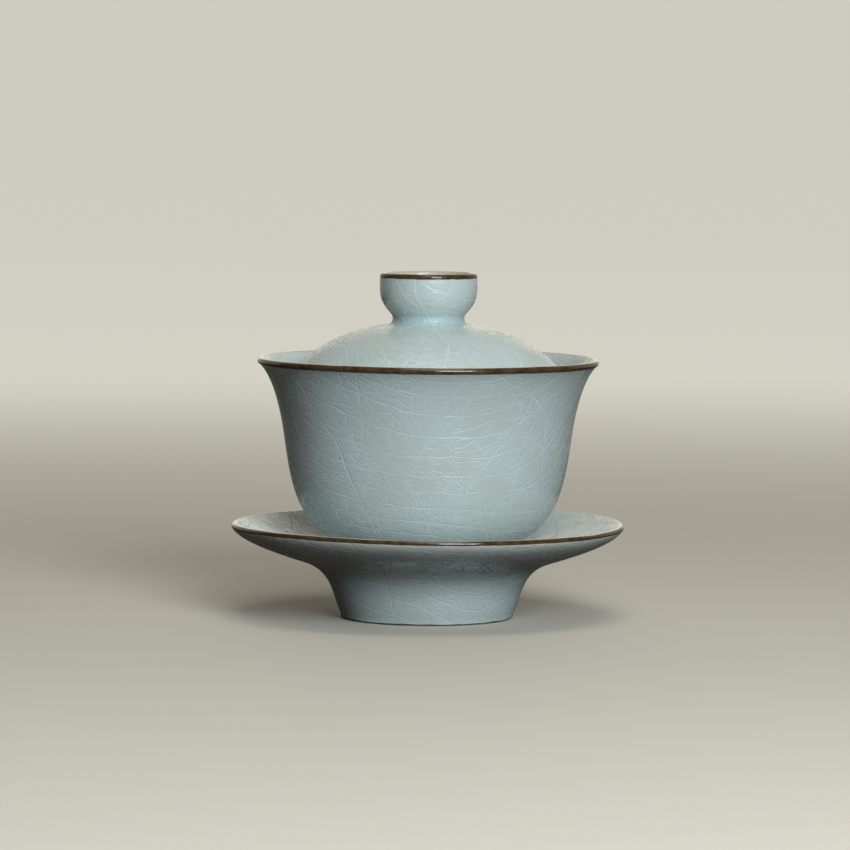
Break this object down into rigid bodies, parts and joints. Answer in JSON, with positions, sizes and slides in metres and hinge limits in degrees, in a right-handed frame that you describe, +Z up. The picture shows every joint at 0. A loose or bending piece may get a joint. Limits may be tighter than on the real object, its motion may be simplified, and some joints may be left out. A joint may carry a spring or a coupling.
{
  "type": "gaiwan",
  "caption": "Lidded tea bowl with a flared lip on a footed saucer, with a domed lid that sits inside the bowl under a cup-shaped knob; crackled celadon glaze with brown lips.",
  "frame": {"origin": "centre of the ring on which the saucer stands, at table height", "axes": "+Z up along the common axis of saucer, bowl and lid"},
  "size_m": [0.11, 0.11, 0.0969],
  "materials": {
    "celadon_glaze": "glossy grey-green crackle glaze",
    "iron_brown_glaze": "thin glossy iron-brown glaze on the lips",
    "bare_clay": "matt fired clay, ground flat"
  },
  "bodies": {
    "saucer": {"saucer_dish": "celadon_glaze", "saucer_foot": "celadon_glaze", "saucer_foot_edge": "bare_clay", "saucer_rim_band": "iron_brown_glaze"},
    "bowl": {"bowl_body": "celadon_glaze", "bowl_foot": "celadon_glaze", "bowl_foot_edge": "bare_clay", "bowl_rim_band": "iron_brown_glaze"},
    "lid": {"lid_dome": "celadon_glaze", "lid_rim_band": "iron_brown_glaze", "lid_knob": "celadon_glaze", "knob_rim_band": "iron_brown_glaze"}
  },
  "joints": [
    {"name": "bowl_lift", "type": "slide", "parent": "saucer", "child": "bowl", "axis": [0, 0, 1], "range_m": [0, 0.08]},
    {"name": "lid_lift", "type": "slide", "parent": "bowl", "child": "lid", "axis": [0, 0, 1], "range_m": [0, 0.06]}
  ]
}
